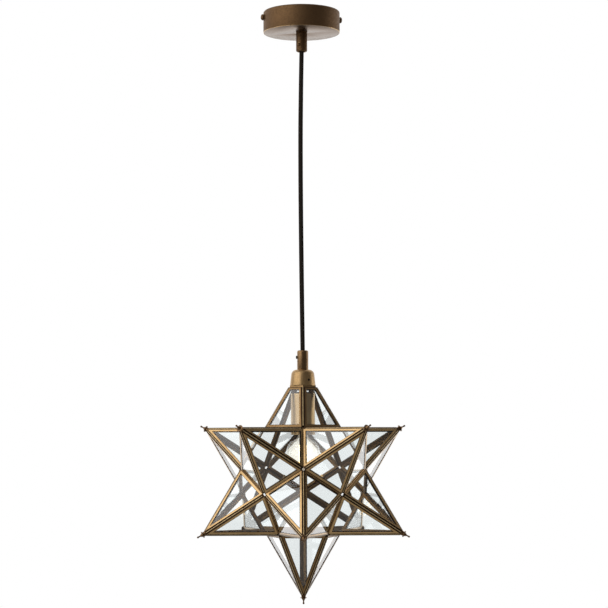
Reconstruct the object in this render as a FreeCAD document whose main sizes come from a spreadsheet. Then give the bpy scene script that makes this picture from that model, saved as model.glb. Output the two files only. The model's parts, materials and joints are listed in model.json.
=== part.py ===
"""A Moravian star pendant: a twelve-rayed glass and brass star that hangs on a fabric cord.

Millimetres, +Z up. The origin is the middle of the canopy's rim, on the ceiling.
The star is a small stellated dodecahedron: each ray is five glass panes, and each pane
sits in a brass channel frame of its own.
"""
import FreeCAD, Part
import math
import os
import re
import Sketcher

SIZES = {
    # canopy and what holds it to the ceiling
    "canopy_diameter": 100,
    "canopy_height": 28,
    "canopy_wall": 1.0,
    "canopy_lip": 2.5,
    "bracket_thickness": 1.5,
    "bracket_width": 14,
    "bracket_turn": 11,
    "bracket_gap": 2.6,
    "bracket_ear": 14,
    "canopy_lip_rise": 1,
    "ceiling_hole_pitch": 60,
    "ceiling_hole_diameter": 5,
    "wire_hole_diameter": 14,
    "canopy_screw_diameter": 4,
    "canopy_screw_head": 8,
    "canopy_screw_head_height": 3.6,
    "canopy_screw_level": 9,
    "canopy_screw_reach": 5,
    "screw_seat_gap": 0.4,
    # fits: the play left round a screw, a thread and a nipple that only passes through
    "screw_fit": 0.06,
    "thread_fit": 0.04,
    "nipple_fit": 0.1,
    # cord grips, cord and threaded nipples
    "grip_diameter": 14.5,
    "grip_length": 25,
    "grip_round": 2,
    "grip_thread_depth": 9,
    "grip_mouth_depth": 4,
    "grip_mouth_diameter": 10,
    "grip_screw_diameter": 4,
    "grip_screw_level": 9,
    "grip_screw_proud": 1.6,
    "screw_chamfer": 0.4,
    "upper_grip_screw_turn": -121,
    "cord_diameter": 6,
    "cord_length": 391,
    "cord_play": 0.1,
    "nipple_diameter": 10,
    "nipple_bore": 6.6,
    "nut_across_corners": 16,
    "nut_height": 4,
    "tail_rise": 8,
    "tail_gap": 0.3,
    "nipple_inset": 0.5,
    # terminal block in the canopy
    "terminal_length": 24,
    "terminal_depth": 12,
    "terminal_height": 13,
    "terminal_offset": 20,
    "terminal_pitch": 8,
    "terminal_wall": 2,
    "terminal_well_diameter": 3.6,
    "terminal_screw_diameter": 3.4,
    "terminal_screw_length": 3.5,
    "core_diameter": 2,
    "core_play": 0.2,
    "core_circle": 3.5,
    "core_rise": 4.5,
    "core_arch": 3.5,
    "core_approach": 2.4,
    "core_entry": 3.5,
    # cup and collar over the star
    "cup_height": 20.5,
    "cup_top_diameter": 28.5,
    "cup_bottom_diameter": 33,
    "cup_round": 7,
    "cup_wall": 1.2,
    "cup_screw_diameter": 2.6,
    "cup_screw_length": 3.6,
    "cup_screw_level": 7,
    "cup_screw_turn": -60,
    "collar_drop": 27.5,
    "collar_thickness": 2.5,
    "collar_corner_circle": 35.4,
    # star
    "star_radius": 150,
    "came_width": 3.0,
    "came_leg": 3.7,
    "came_gauge": 0.7,
    "came_fold": 0.6,
    "glass_thickness": 2.0,
    "glass_play": 0.03,
    "tip_trim": 4.0,
    # tip finials
    "finial_foot_diameter": 6.6,
    "finial_waist_diameter": 5.4,
    "finial_rim_diameter": 8.6,
    "finial_rim_height": 0.8,
    "finial_collar_height": 3.4,
    "finial_cone_height": 3.4,
    "finial_pin_diameter": 1.8,
    "finial_pin_height": 4.4,
    "finial_bead_diameter": 2.4,
    "finial_bead_height": 2.4,
    "finial_bead_slope": 0.5,
    "finial_rim_slope": 0.3,
    # hinged ray
    "hinge_barrel": 2.8,
    "hinge_play": 0.1,
    "hinge_pin": 1.2,
    "hinge_knuckle": 6,
    "hinge_leaf": 4.2,
    "hinge_leaf_thickness": 0.5,
    "hinge_pin_play": 0.1,
    "hinge_pin_proud": 0.5,
    "tongue_width": 8,
    "tongue_thickness": 0.5,
    "tongue_reach": 4,
    "tongue_gap": 0.3,
    "tongue_bend": 0.6,
    # lampholder
    "holder_diameter": 31,
    "holder_drop": 8.5,
    "holder_length": 55,
    "holder_cap_height": 6,
    "holder_cap_slope": 2,
    "holder_cap_shoulder": 3,
    "holder_nipple_depth": 4.5,
    "holder_wall": 1.2,
    "holder_fit": 0.1,
    "core_recess": 3,
    "lamp_thread": 13.6,
    "lamp_play": 0.2,
    "shell_gauge": 0.5,
    "stud_diameter": 2.4,
    "stud_head_diameter": 5,
    "stud_head_rise": 1.4,
    "stud_head_height": 0.6,
    "core_roof": 4,
    "lamp_cap_length": 24,
    "lamp_seat": 1,
    # lamp
    "bulb_diameter": 45,
    "bulb_length": 50,
    "bulb_wall": 1.0,
    "bulb_neck_inset": 0.5,
    "bulb_neck_bend": 3.4,
    "bulb_neck_flare": 0.6,
    "bulb_cap_wall": 0.4,
    "bulb_cap_cone": 2.5,
    "bulb_cap_end": 1.5,
    "bulb_cap_slope": 3,
    "bulb_cap_floor": 0.5,
    "bulb_contact_diameter": 4.2,
    "bulb_contact_tip": 2.4,
    "bulb_contact_height": 2.2,
    "bulb_contact_cone": 1,
    "stem_diameter": 3.4,
    "stem_foot_diameter": 9.2,
    "stem_gap": 0.1,
    "filament_length": 24,
    "filament_diameter": 1.8,
    "filament_spread": 9,
}

doc = FreeCAD.newDocument("moravian_star_pendant")
sheet = doc.addObject("Spreadsheet::Sheet", "sizes")
for row, (name, number) in enumerate(SIZES.items(), start=1):
    sheet.set(f"A{row}", name)
    sheet.set(f"B{row}", str(number))
    sheet.setAlias(f"B{row}", name)
doc.recompute()

# Half the angle between the faces of a dodecahedron, at which a ray's panes meet too, in degrees.
DIHEDRAL_HALF = math.degrees(math.atan((1 + math.sqrt(5)) / 2))
# A pane leans by this angle from its ray's axis, and the side rays rise or fall by it, in radians.
LEAN = math.atan(0.5)

# Names for places and sizes that follow from the sheet, each worked out from the ones above it.
DERIVED = {
    # levels, from the ceiling down
    "canopy_bottom": "-canopy_height",
    "upper_mouth": "canopy_bottom - grip_length",
    "upper_pivot": "upper_mouth + grip_mouth_depth",
    "lower_mouth": "upper_mouth - cord_length",
    "lower_pivot": "lower_mouth - grip_mouth_depth",
    "cup_top": "lower_mouth - grip_length",
    "collar_top": "star_radius - collar_drop",
    "holder_top": "collar_top - holder_drop",
    "star_level": "cup_top - cup_height - collar_top",
    "collar_level": "star_level + collar_top - collar_thickness",
    "holder_level": "star_level + holder_top",
    "sleeve_bottom": "holder_level - holder_length",
    "lamp_cap_bottom": "sleeve_bottom + core_recess - lamp_seat",
    "lamp_bottom": "lamp_cap_bottom - bulb_length",
    # the star's own measures: a ray's base is a regular pentagon
    "base_distance": "star_radius / sqrt(5)",
    "base_inradius": "(star_radius - base_distance) / 2",
    "base_edge": "2 * base_inradius * tan(36 deg)",
    "face_height": "base_edge / 2 / tan(18 deg)",
    "pane_setback": f"came_width / 2 / tan({DIHEDRAL_HALF:.9f} deg)",
    "cord_bore": "cord_diameter + 2 * cord_play",
    "nipple_hole": "nipple_diameter + nipple_fit",
    "nipple_thread": "nipple_diameter + thread_fit",
}
WORD = re.compile(r"[a-z_]*[a-z]_[a-z_]+|[a-z]+")


def bound(text):
    """Write a formula in the sheet's names as an expression."""
    def swap(match):
        word = match.group()
        if word in DERIVED:
            return "(" + bound(DERIVED[word]) + ")"
        return "sizes." + word if word in SIZES else word
    return WORD.sub(swap, str(text))


def value(text):
    """The number that a formula in the sheet's names stands for."""
    return float(sheet.evalExpression(bound(text)))


PIECES = []


def keep(piece, node, height=None):
    """Hand in this object under its node's name, raised to a level of the sheet."""
    piece.Label = node
    if height is not None:
        piece.setExpression(".Placement.Base.z", bound(height))
    PIECES.append(piece)
    return piece


def origin_plane(body, role):
    return next(item for item in body.Origin.OriginFeatures if item.Role == role)


def start_sketch(body, name, plane):
    sketch = body.newObject("Sketcher::SketchObject", name)
    sketch.AttachmentSupport = [(origin_plane(body, plane), "")]
    sketch.MapMode = "FlatFace"
    return sketch


def bind_point(sketch, line, across, up):
    """Hold the start of a line at a place given by two formulas."""
    for kind, axis, text in (("DistanceX", -2, across), ("DistanceY", -1, up)):
        if text in ("0", 0):
            sketch.addConstraint(Sketcher.Constraint("PointOnObject", line, 1, axis))
            continue
        index = sketch.addConstraint(Sketcher.Constraint(kind, -1, 1, line, 1, value(text)))
        sketch.setExpression(f"Constraints[{index}]", bound(text))


def draw_outline(sketch, outline):
    """Draw a closed outline of straight sides through places given by formulas."""
    corners = [FreeCAD.Vector(value(across), value(up), 0) for across, up in outline]
    count = len(corners)
    for index in range(count):
        sketch.addGeometry(Part.LineSegment(corners[index], corners[(index + 1) % count]), False)
    for index in range(count):
        sketch.addConstraint(Sketcher.Constraint("Coincident", index, 2, (index + 1) % count, 1))
    for index, (across, up) in enumerate(outline):
        bind_point(sketch, index, across, up)


def draw_circle(sketch, across, up, diameter):
    centre = FreeCAD.Vector(value(across), value(up), 0)
    circle = sketch.addGeometry(Part.Circle(centre, FreeCAD.Vector(0, 0, 1), value(diameter) / 2), False)
    for kind, axis, text in (("DistanceX", -2, across), ("DistanceY", -1, up)):
        if text in ("0", 0):
            sketch.addConstraint(Sketcher.Constraint("PointOnObject", circle, 3, axis))
            continue
        index = sketch.addConstraint(Sketcher.Constraint(kind, -1, 1, circle, 3, value(text)))
        sketch.setExpression(f"Constraints[{index}]", bound(text))
    index = sketch.addConstraint(Sketcher.Constraint("Diameter", circle, value(diameter)))
    sketch.setExpression(f"Constraints[{index}]", bound(diameter))


def turned(name, outline, axis="V_Axis"):
    """A piece turned on a lathe from an outline of radii and heights."""
    body = doc.addObject("PartDesign::Body", name)
    sketch = start_sketch(body, name + "_profile", "XZ_Plane")
    draw_outline(sketch, outline)
    turn = body.newObject("PartDesign::Revolution", name + "_turning")
    turn.Profile = sketch
    turn.ReferenceAxis = (sketch, [axis])
    turn.Angle = 360
    doc.recompute()
    return body


def round_rims(body, rims, radius):
    """Round the circular edges that lie at these radii and heights."""
    shape = body.Shape
    names = []
    for rim_radius, rim_height in rims:
        for index, edge in enumerate(shape.Edges, start=1):
            curve = edge.Curve
            if not isinstance(curve, Part.Circle):
                continue
            off = abs(curve.Radius - value(rim_radius)) + abs(curve.Center.z - value(rim_height))
            if off < 0.001:
                names.append(f"Edge{index}")
    rounding = body.newObject("PartDesign::Fillet", body.Name + "_rounding")
    rounding.Base = (body.Tip if body.Tip != rounding else rounding.BaseFeature, names)
    rounding.Radius = value(radius)
    rounding.setExpression("Radius", bound(radius))
    doc.recompute()
    return rounding


def cut_hole(body, name, plane, across, up, diameter, depth=None, towards=False):
    """Cut a round hole straight through, or from the plane to a depth on one side."""
    whole = body.Shape.Volume
    sketch = start_sketch(body, name + "_circle", plane)
    draw_circle(sketch, across, up, diameter)
    hole = body.newObject("PartDesign::Pocket", name)
    hole.Profile = sketch
    if depth is None:
        hole.Type = "ThroughAll"
        hole.SideType = "Symmetric"
    else:
        hole.Length = value(depth)
        hole.setExpression("Length", bound(depth))
        hole.Reversed = towards
    doc.recompute()
    if body.Shape.Volume >= whole:
        raise RuntimeError(f"{name} cuts nothing")
    return hole


def turn_to(piece, angle):
    """Turn a piece about the pendant's axis by an angle of the sheet, in degrees."""
    # one degree gives the rotation its axis, and the expression then sets the angle
    piece.Placement.Rotation = FreeCAD.Rotation(FreeCAD.Vector(0, 0, 1), 1)
    piece.setExpression(".Placement.Rotation.Angle", f"({bound(angle)}) * 1 deg")


def solid_node(node, solids, height=None):
    """A piece, or a group of like pieces, whose shape no sketch or primitive gives."""
    piece = doc.addObject("Part::Feature", node)
    piece.Shape = Part.makeCompound(solids)
    if height is not None:
        piece.Placement = FreeCAD.Placement(FreeCAD.Vector(0, 0, value(height)), FreeCAD.Rotation())
    piece.Label = node
    PIECES.append(piece)
    return piece


# --- the ceiling strap: a bent strip with two ears, and the holes of its screws


def make_bracket():
    reach = "canopy_diameter / 2 - canopy_wall - bracket_gap"
    body = doc.addObject("PartDesign::Body", "ceiling_bracket")
    sketch = start_sketch(body, "strap_side", "XZ_Plane")
    draw_outline(sketch, [
        (f"-({reach})", "0"), (reach, "0"), (reach, "-bracket_ear"),
        (f"{reach} - bracket_thickness", "-bracket_ear"),
        (f"{reach} - bracket_thickness", "-bracket_thickness"),
        (f"-({reach} - bracket_thickness)", "-bracket_thickness"),
        (f"-({reach} - bracket_thickness)", "-bracket_ear"), (f"-({reach})", "-bracket_ear")])
    strap = body.newObject("PartDesign::Pad", "strap")
    strap.Profile = sketch
    strap.SideType = "Symmetric"
    strap.setExpression("Length", bound("bracket_width"))
    doc.recompute()
    cut_hole(body, "wire_hole", "XY_Plane", "0", "0", "wire_hole_diameter")
    cut_hole(body, "ceiling_hole_right", "XY_Plane", "ceiling_hole_pitch / 2", "0", "ceiling_hole_diameter")
    cut_hole(body, "ceiling_hole_left", "XY_Plane", "-ceiling_hole_pitch / 2", "0", "ceiling_hole_diameter")
    cut_hole(body, "ear_holes", "YZ_Plane", "0", "-canopy_screw_level",
             "canopy_screw_diameter + 2 * screw_fit")
    turn_to(body, "bracket_turn")
    return keep(body, "ceiling_bracket")


def make_canopy_screw(node, turn):
    """A screw that lies along X from inside the ear to its head outside the canopy."""
    tip = "canopy_diameter / 2 - canopy_wall - bracket_gap - canopy_screw_reach"
    seat = "canopy_diameter / 2 + screw_seat_gap"
    body = turned(node, [
        (tip, "0"), (tip, "canopy_screw_diameter / 2"), (seat, "canopy_screw_diameter / 2"),
        (seat, "canopy_screw_head / 2"),
        (f"{seat} + canopy_screw_head_height * 0.6", "canopy_screw_head / 2"),
        (f"{seat} + canopy_screw_head_height * 0.9", "canopy_screw_head * 0.38"),
        (f"{seat} + canopy_screw_head_height", "canopy_screw_head * 0.25"),
        (f"{seat} + canopy_screw_head_height", "0")], axis="H_Axis")
    turn_to(body, turn)
    return keep(body, node, "-canopy_screw_level")


def make_canopy():
    """A spun cup with a turned-in lip, a hole for the nipple and two slots open at the lip."""
    outside = "canopy_diameter / 2"
    inside = "canopy_diameter / 2 - canopy_wall"
    body = turned("canopy", [
        ("nipple_hole / 2", "0"), (outside, "0"), (outside, "canopy_height"),
        (f"{outside} - canopy_lip", "canopy_height"),
        (f"{outside} - canopy_lip", "canopy_height - canopy_wall"),
        (inside, "canopy_height - canopy_wall - canopy_lip_rise"),
        (inside, "canopy_wall"), ("nipple_hole / 2", "canopy_wall")])
    round_rims(body, [(outside, "canopy_height")], "canopy_lip * 0.9")
    slot_half = "canopy_screw_diameter / 2 + screw_seat_gap"
    sketch = start_sketch(body, "slot_outline", "YZ_Plane")
    draw_outline(sketch, [
        (f"-({slot_half})", f"canopy_height - canopy_screw_level - ({slot_half})"),
        (slot_half, f"canopy_height - canopy_screw_level - ({slot_half})"),
        (slot_half, "canopy_height + 1"), (f"-({slot_half})", "canopy_height + 1")])
    slots = body.newObject("PartDesign::Pocket", "slots")
    slots.Profile = sketch
    slots.Type = "ThroughAll"
    slots.SideType = "Symmetric"
    doc.recompute()
    turn_to(body, "bracket_turn")
    return keep(body, "canopy", "canopy_bottom")


# --- cord grips: both are the same piece, the lower one upside down


def make_grip(node, level, upside_down, screw_turn):
    """Height 0 is the mouth. The far end takes a threaded nipple. Upside down its screw points to -X."""
    bore = "cord_bore / 2"
    body = turned(node, [
        ("grip_mouth_diameter / 2", "0"), ("grip_diameter / 2", "0"),
        ("grip_diameter / 2", "grip_length"), ("nipple_thread / 2", "grip_length"),
        ("nipple_thread / 2", "grip_length - grip_thread_depth"),
        (bore, "grip_length - grip_thread_depth"), (bore, "grip_mouth_depth")])
    round_rims(body, [("grip_diameter / 2", "0")], "grip_round")
    cut_hole(body, node + "_screw_hole", "YZ_Plane", "0", "grip_screw_level",
             "grip_screw_diameter + screw_fit", "grip_diameter", True)
    if upside_down:
        body.Placement.Rotation = FreeCAD.Rotation(FreeCAD.Vector(0, 1, 0), 180)
    else:
        turn_to(body, screw_turn)
    return keep(body, node, level)


def make_grip_screw(node, turn, level):
    """A set screw with a low head, from the cord's skin to just outside the grip."""
    inner = "cord_bore / 2 + cord_play"
    face = "grip_diameter / 2 + grip_screw_proud"
    body = turned(node, [
        (inner, "0"), (inner, "grip_screw_diameter / 2 - screw_chamfer"),
        (f"{inner} + screw_chamfer", "grip_screw_diameter / 2"),
        (f"{face} - screw_chamfer", "grip_screw_diameter / 2"),
        (face, "grip_screw_diameter / 2 - screw_chamfer"), (face, "0")], axis="H_Axis")
    turn_to(body, turn)
    return keep(body, node, level)


def make_nipple(node, bottom, top):
    body = turned(node, [
        ("nipple_bore / 2", "0"), ("nipple_diameter / 2", "0"),
        ("nipple_diameter / 2", f"{top} - ({bottom})"), ("nipple_bore / 2", f"{top} - ({bottom})")])
    return keep(body, node, bottom)


def make_nut(node, level):
    blank = doc.addObject("Part::Prism", node + "_blank")
    blank.Polygon = 6
    blank.setExpression("Circumradius", bound("nut_across_corners / 2"))
    blank.setExpression("Height", bound("nut_height"))
    bore = doc.addObject("Part::Cylinder", node + "_bore")
    bore.setExpression("Radius", bound("nipple_thread / 2"))
    bore.setExpression("Height", bound("nut_height"))
    nut = doc.addObject("Part::Cut", node)
    nut.Base = blank
    nut.Tool = bore
    return keep(nut, node, level)


# --- the cord: straight runs joined by wide tangent arcs, with the small set that a fabric cord keeps

# Sideways offsets in millimetres of the points between the two pivots, which are evenly spaced.
CORD_SET = (0, -1.7, -2.0, -1.6, -0.9, 0)


def cord_route():
    top = value("upper_pivot")
    bottom = value("lower_pivot")
    last = len(CORD_SET) - 1
    return [FreeCAD.Vector(offset, 0, top + (bottom - top) * index / last)
            for index, offset in enumerate(CORD_SET)]


def rounded_path(points, name):
    """Straight runs joined by arcs as large as their two runs allow."""
    edges = []
    start = points[0]
    radii = []
    for before, corner, after in zip(points, points[1:], points[2:]):
        come = (corner - before).normalize()
        leave = (after - corner).normalize()
        half = come.getAngle(leave) / 2
        shorter = min((corner - before).Length, (after - corner).Length)
        cut = 0.45 * shorter
        radius = cut / math.tan(half)
        radii.append(radius)
        first = corner - come * cut
        last = corner + leave * cut
        inward = (leave - come).normalize()
        middle = corner + inward * (radius / math.cos(half) - radius)
        edges.append(Part.LineSegment(start, first).toShape())
        edges.append(Part.Arc(first, middle, last).toShape())
        start = last
    edges.append(Part.LineSegment(start, points[-1]).toShape())
    print(name, "arc radii", [round(radius, 1) for radius in radii])
    return Part.Wire(edges)


def tube(path, radius, name):
    """A round tube along a path, its volume compared with its section times its length."""
    begin = path.OrderedEdges[0]
    direction = begin.tangentAt(begin.FirstParameter)
    circle = Part.makeCircle(radius, begin.valueAt(begin.FirstParameter), direction)
    solid = path.makePipeShell([Part.Wire(circle)], True, False)
    expected = math.pi * radius ** 2 * path.Length
    print(name, "length", round(path.Length, 1), "volume over section times length",
          round(solid.Volume / expected, 5))
    return solid


def make_cord():
    radius = value("cord_diameter") / 2
    route = cord_route()
    solid = tube(rounded_path(route, "cord"), radius, "cord")
    ends = [Part.makeSphere(radius, point) for point in (route[0], route[-1])]
    return solid_node("cord", [solid.fuse(ends).removeSplitter()])


def make_tail(node, bottom, top):
    body = turned(node, [
        ("0", "0"), ("cord_diameter / 2", "0"), ("cord_diameter / 2", f"{top} - ({bottom})"),
        ("0", f"{top} - ({bottom})")])
    return keep(body, node, bottom)


# --- inside the canopy: a terminal block on the canopy's floor, and the cord's cores


def terminal_places():
    pitch = value("terminal_pitch")
    return [(step * pitch, value("terminal_offset")) for step in (-1, 0, 1)]


def make_terminal_block():
    blank = doc.addObject("Part::Box", "terminal_blank")
    blank.setExpression("Length", bound("terminal_length"))
    blank.setExpression("Width", bound("terminal_depth"))
    blank.setExpression("Height", bound("terminal_height"))
    blank.setExpression(".Placement.Base.x", bound("-terminal_length / 2"))
    blank.setExpression(".Placement.Base.y", bound("terminal_offset - terminal_depth / 2"))
    holes = []
    for index, (across, along) in enumerate(terminal_places()):
        well = doc.addObject("Part::Cylinder", f"terminal_well_{index}")
        well.setExpression("Radius", bound("terminal_well_diameter / 2"))
        well.setExpression("Height", bound("terminal_height / 2"))
        well.Placement.Base = FreeCAD.Vector(across, along, 0)
        well.setExpression(".Placement.Base.z", bound("terminal_height / 2"))
        entry = doc.addObject("Part::Cylinder", f"terminal_entry_{index}")
        entry.setExpression("Radius", bound("core_diameter / 2 + core_play / 2"))
        entry.setExpression("Height", bound("terminal_depth / 2 - terminal_wall"))
        entry.Placement = FreeCAD.Placement(
            FreeCAD.Vector(across, along - value("terminal_depth") / 2, value("terminal_height") / 4),
            FreeCAD.Rotation(FreeCAD.Vector(1, 0, 0), -90))
        holes += [well, entry]
    cutter = doc.addObject("Part::MultiFuse", "terminal_holes")
    cutter.Shapes = holes
    block = doc.addObject("Part::Cut", "terminal_block")
    block.Base = blank
    block.Tool = cutter
    return keep(block, "terminal_block", "canopy_bottom + canopy_wall")


def make_terminal_screws():
    floor = value("canopy_bottom + canopy_wall")
    level = floor + value("terminal_height") / 2
    radius = value("terminal_screw_diameter") / 2
    length = value("terminal_screw_length")
    screws = [Part.makeCylinder(radius, length, FreeCAD.Vector(across, along, level))
              for across, along in terminal_places()]
    return solid_node("terminal_screws", screws)


def make_cores():
    """Three insulated cores, from the cord's cut end over to the terminal block."""
    radius = value("core_diameter") / 2
    top = value("canopy_bottom + tail_rise")
    entry = value("canopy_bottom + canopy_wall + terminal_height / 4")
    face = value("terminal_offset - terminal_depth / 2")
    circle = value("core_circle") / 2
    rise = value("core_rise")
    arch = FreeCAD.Vector(0, face - rise, top + value("core_arch"))
    near = face - value("core_approach")
    inside = face + value("core_entry")
    cores = []
    for index, (across, _) in enumerate(terminal_places()):
        turn = math.radians(210 - 120 * index)
        start = FreeCAD.Vector(circle * math.cos(turn), circle * math.sin(turn), top)
        path = rounded_path([
            start, start + FreeCAD.Vector(0, 0, rise), arch + FreeCAD.Vector(across * 0.8, 0, 0),
            FreeCAD.Vector(across, near, entry), FreeCAD.Vector(across, inside, entry)], f"core {index}")
        cores.append(tube(path, radius, f"core {index}"))
    return solid_node("cord_cores", cores)


# --- cup, collar and lampholder


def make_cup():
    top = "cup_top_diameter / 2"
    bottom = "cup_bottom_diameter / 2"
    body = turned("socket_cup", [
        ("nipple_hole / 2", "cup_height - cup_wall"), (f"{top} - cup_wall", "cup_height - cup_wall"),
        (f"{bottom} - cup_wall", "0"), (bottom, "0"), (top, "cup_height"),
        ("nipple_hole / 2", "cup_height")])
    round_rims(body, [(f"{top} - cup_wall", "cup_height - cup_wall")], "cup_round - cup_wall")
    round_rims(body, [(top, "cup_height")], "cup_round")
    cut_hole(body, "cup_screw_hole", "YZ_Plane", "0", "cup_screw_level", "cup_screw_diameter + screw_fit",
             "cup_bottom_diameter", True)
    turn_to(body, "cup_screw_turn")
    return keep(body, "socket_cup", "collar_level + collar_thickness")


def make_cup_screw():
    face = "cup_bottom_diameter / 2 - screw_chamfer"
    body = turned("cup_screw", [
        (f"{face} - cup_screw_length", "0"), (f"{face} - cup_screw_length", "cup_screw_diameter / 2"),
        (face, "cup_screw_diameter / 2"), (face, "0")], axis="H_Axis")
    turn_to(body, "cup_screw_turn")
    return keep(body, "cup_screw", "collar_level + collar_thickness + cup_screw_level")


def make_collar():
    blank = doc.addObject("Part::Prism", "collar_blank")
    blank.Polygon = 5
    blank.setExpression("Circumradius", bound("collar_corner_circle / 2"))
    blank.setExpression("Height", bound("collar_thickness"))
    blank.Placement.Rotation = FreeCAD.Rotation(FreeCAD.Vector(0, 0, 1), -90)
    bore = doc.addObject("Part::Cylinder", "collar_bore")
    bore.setExpression("Radius", bound("nipple_hole / 2"))
    bore.setExpression("Height", bound("collar_thickness"))
    plate = doc.addObject("Part::Cut", "collar_plate")
    plate.Base = blank
    plate.Tool = bore
    return keep(plate, "collar_plate", "collar_level")


def make_holder():
    outside = "holder_diameter / 2"
    inside = f"{outside} - holder_wall"
    cap = turned("lampholder_cap", [
        ("nipple_thread / 2", "holder_cap_height - holder_wall"),
        (inside, "holder_cap_height - holder_wall - holder_cap_slope"), (inside, "0"), (outside, "0"),
        (outside, "holder_cap_height - holder_cap_slope"),
        (f"{outside} - holder_cap_shoulder", "holder_cap_height"),
        ("nipple_thread / 2", "holder_cap_height")])
    keep(cap, "lampholder_cap", "holder_level - holder_cap_height")
    sleeve_length = "holder_length - holder_cap_height"
    sleeve = turned("lampholder_sleeve", [
        (inside, "0"), (outside, "0"), (outside, sleeve_length), (inside, sleeve_length)])
    keep(sleeve, "lampholder_sleeve", "sleeve_bottom")
    shell_outer = "lamp_thread / 2 + lamp_play + shell_gauge"
    core_length = f"{sleeve_length} - core_recess"
    roof = "lamp_cap_length + core_roof"
    core = turned("lampholder_core", [
        (f"{shell_outer} + holder_fit", "0"), (f"{inside} - holder_fit", "0"),
        (f"{inside} - holder_fit", core_length), ("0", core_length), ("0", roof),
        (f"{shell_outer} + holder_fit", roof)])
    keep(core, "lampholder_core", "sleeve_bottom + core_recess")
    shell = turned("lamp_thread_shell", [
        ("lamp_thread / 2 + lamp_play", "0"), (shell_outer, "0"), (shell_outer, "lamp_cap_length"),
        ("lamp_thread / 2 + lamp_play", "lamp_cap_length")])
    head = "lamp_cap_length + stud_head_rise"
    contact = turned("lamp_contact_stud", [
        ("0", head), ("stud_head_diameter / 2", head),
        ("stud_head_diameter / 2", f"{head} + stud_head_height"),
        ("stud_diameter / 2", f"{head} + stud_head_height"), ("stud_diameter / 2", roof),
        ("0", roof)])
    contacts = doc.addObject("Part::Compound", "holder_contacts")
    contacts.Links = [shell, contact]
    keep(contacts, "holder_contacts", "sleeve_bottom + core_recess")


# --- lamp


def make_lamp():
    outer = "lamp_thread / 2"
    inner = "lamp_thread / 2 - bulb_cap_wall"
    end = "lamp_cap_length - bulb_cap_end"
    cone = f"{end} - bulb_cap_cone"
    cap = turned("bulb_cap", [
        (inner, "0"), (outer, "0"), (outer, cone), (f"{outer} - bulb_cap_slope", end),
        ("bulb_contact_diameter / 2 + stem_gap", end),
        ("bulb_contact_diameter / 2 + stem_gap", f"{end} - bulb_cap_floor"),
        (f"{inner} - bulb_cap_slope", f"{end} - bulb_cap_floor"), (inner, f"{cone} - bulb_cap_wall")])
    keep(cap, "bulb_cap", "lamp_cap_bottom")
    foot = "lamp_cap_length - bulb_contact_height"
    contact = turned("bulb_contact", [
        ("0", foot), ("bulb_contact_diameter / 2", foot),
        ("bulb_contact_diameter / 2", "lamp_cap_length - bulb_contact_cone"),
        ("bulb_contact_tip / 2", "lamp_cap_length"), ("0", "lamp_cap_length")])
    keep(contact, "bulb_contact", "lamp_cap_bottom")
    solid_node("bulb_glass", [envelope("0").cut(envelope("bulb_wall"))], "lamp_bottom")
    stem = turned("bulb_stem", [
        ("0", "bulb_length * 0.52"), ("stem_diameter / 2", "bulb_length * 0.52"),
        ("stem_diameter / 2", "bulb_length * 0.8"), ("stem_foot_diameter / 2", "bulb_length"),
        ("0", "bulb_length")])
    keep(stem, "bulb_stem", "lamp_bottom")
    solid_node("bulb_filaments", filament_rods(), "lamp_bottom")


def envelope(inset):
    """The lamp's round outline, from the bottom of the ball to the neck, drawn in by an inset."""
    height = value("bulb_length")
    middle = value("bulb_diameter") / 2
    ball = value(f"bulb_diameter / 2 - {inset}")
    neck = value(f"lamp_thread / 2 - bulb_neck_inset - {inset}")
    stretch = value("bulb_neck_bend")
    flare = middle + ball * 0.72
    side = math.sqrt(ball ** 2 - (flare - middle) ** 2)
    bottom = FreeCAD.Vector(0, 0, middle - ball)
    waist = FreeCAD.Vector(side, 0, flare)
    rim = FreeCAD.Vector(neck, 0, height)
    slope = math.atan2(-(flare - middle), side)
    bend = FreeCAD.Vector(side + stretch * math.sin(slope), 0, flare + stretch * math.cos(slope))
    bend.x = max(bend.x, neck + value("bulb_neck_flare"))
    arc = Part.Arc(bottom, FreeCAD.Vector(ball, 0, middle), waist).toShape()
    neck_curve = Part.BezierCurve()
    neck_curve.setPoles([waist, bend, FreeCAD.Vector(neck, 0, flare + (height - flare) * 0.3), rim])
    profile = Part.Wire([
        arc, neck_curve.toShape(),
        Part.LineSegment(rim, FreeCAD.Vector(0, 0, height)).toShape(),
        Part.LineSegment(FreeCAD.Vector(0, 0, height), bottom).toShape()])
    return Part.Face(profile).revolve(FreeCAD.Vector(), FreeCAD.Vector(0, 0, 1), 360)


def filament_rods():
    """Upright rods round the stem, each held to it by a wire near its upper end."""
    radius = value("filament_diameter") / 2
    spread = value("filament_spread") / 2
    length = value("filament_length")
    bottom = value("bulb_diameter") / 2 - length / 2
    stem_side = value("stem_diameter / 2 + stem_gap")
    rods = []
    for turn in (0, 90, 180, 270):
        out = FreeCAD.Vector(math.cos(math.radians(turn)), math.sin(math.radians(turn)), 0)
        rod = Part.makeCylinder(radius, length, out * spread + FreeCAD.Vector(0, 0, bottom))
        foot = out * stem_side + FreeCAD.Vector(0, 0, bottom + length - radius)
        wire = Part.makeCylinder(radius / 3, spread - stem_side, foot, out)
        rods.append(rod.fuse(wire))
    return rods


# --- the star: directions of the twelve rays, and the frames their panes are drawn in


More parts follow.
